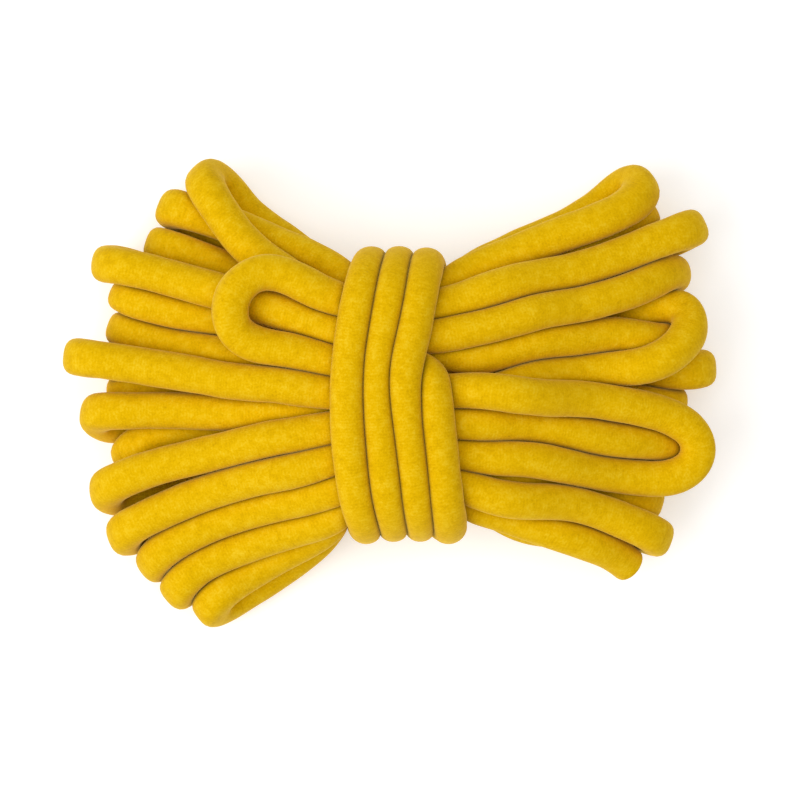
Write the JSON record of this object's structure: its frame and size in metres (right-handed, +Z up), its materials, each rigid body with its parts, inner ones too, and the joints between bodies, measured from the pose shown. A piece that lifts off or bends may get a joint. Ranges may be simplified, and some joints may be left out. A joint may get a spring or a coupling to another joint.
{
  "type": "velvet cord hank",
  "caption": "Soft velvet cord folded back and forth into a hank and bound round its waist with its own tail.",
  "frame": {"origin": "on the floor under the middle of the hank's bounding box", "axes": "+X along the folds towards the side where the band starts, +Y across them towards the two tilted folds, +Z up"},
  "size_m": [0.0892, 0.0636, 0.0266],
  "materials": {
    "velvet": "short-pile velvet",
    "filler": "soft spun strand"
  },
  "bodies": {
    "root": {"start_tail": "velvet", "left_fold_01": "velvet", "left_fold_02": "velvet", "left_fold_03": "velvet", "left_fold_04": "velvet", "left_fold_05": "velvet", "left_fold_06": "velvet", "left_fold_07": "velvet", "left_fold_08": "velvet", "left_fold_09": "velvet", "left_fold_10": "velvet", "left_fold_11": "velvet", "left_fold_12": "velvet", "left_fold_13": "velvet", "left_fold_14": "velvet", "left_fold_15": "velvet", "right_fold_01": "velvet", "right_fold_02": "velvet", "right_fold_03": "velvet", "right_fold_04": "velvet", "right_fold_05": "velvet", "right_fold_06": "velvet", "right_fold_07": "velvet", "right_fold_08": "velvet", "right_fold_09": "velvet", "right_fold_10": "velvet", "right_fold_11": "velvet", "right_fold_12": "velvet", "right_fold_13": "velvet", "right_fold_14": "velvet", "right_fold_15": "velvet", "short_loop": "velvet", "band_turn_1": "velvet", "band_turn_2": "velvet", "band_turn_3": "velvet", "band_turn_4": "velvet", "end_tail": "velvet", "start_filler": "filler", "end_filler": "filler"}
  },
  "joints": []
}
